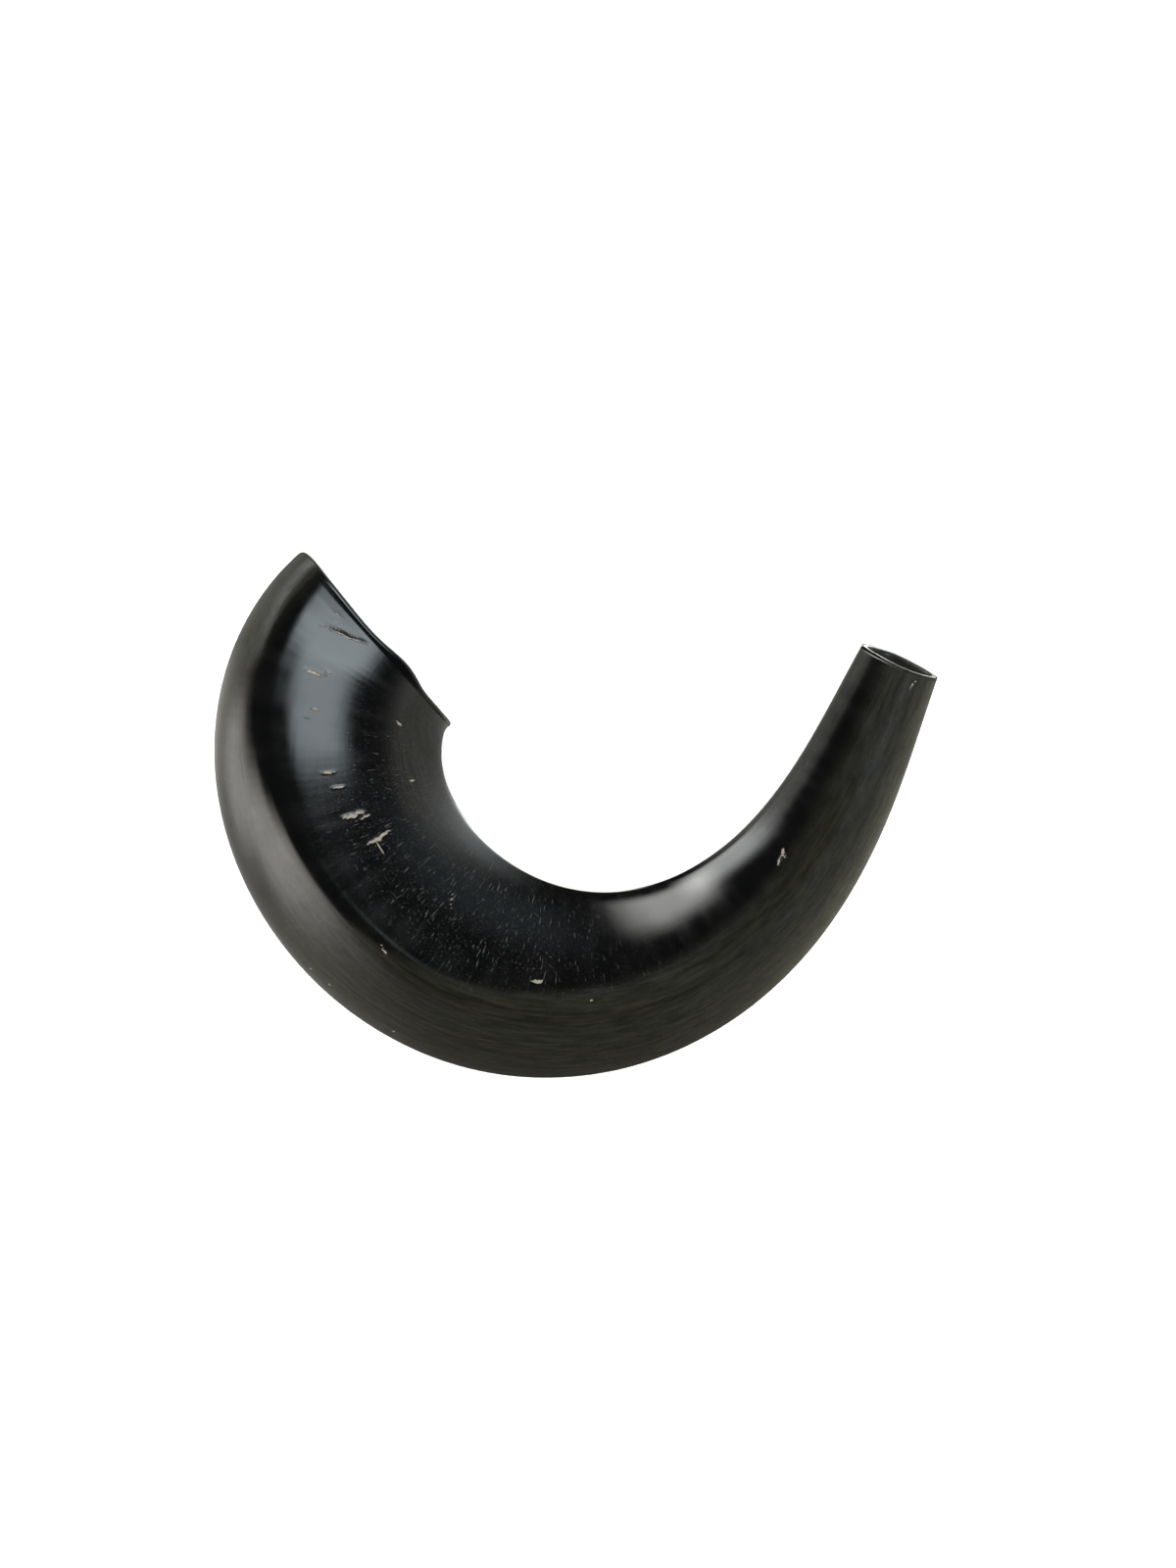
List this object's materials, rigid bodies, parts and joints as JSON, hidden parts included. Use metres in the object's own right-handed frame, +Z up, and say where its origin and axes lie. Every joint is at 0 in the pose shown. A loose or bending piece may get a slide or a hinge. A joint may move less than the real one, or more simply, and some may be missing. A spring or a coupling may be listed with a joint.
{
  "type": "ram's-horn trumpet",
  "caption": "Curved natural horn trumpet, hollow from its wide oval bell, with a straight drilled throat and a small oval cup at the tip.",
  "frame": {"origin": "on the ground, below the middle of the outline seen from above", "axes": "+X along the longest extent, from the bell's side to the mouthpiece's side; +Y from the bottom of the curve to its open side; +Z up, across the plane of the curve"},
  "size_m": [0.2044, 0.15, 0.0462],
  "materials": {
    "polished_horn": "polished"
  },
  "bodies": {
    "root": {"horn": "polished_horn"}
  },
  "joints": []
}
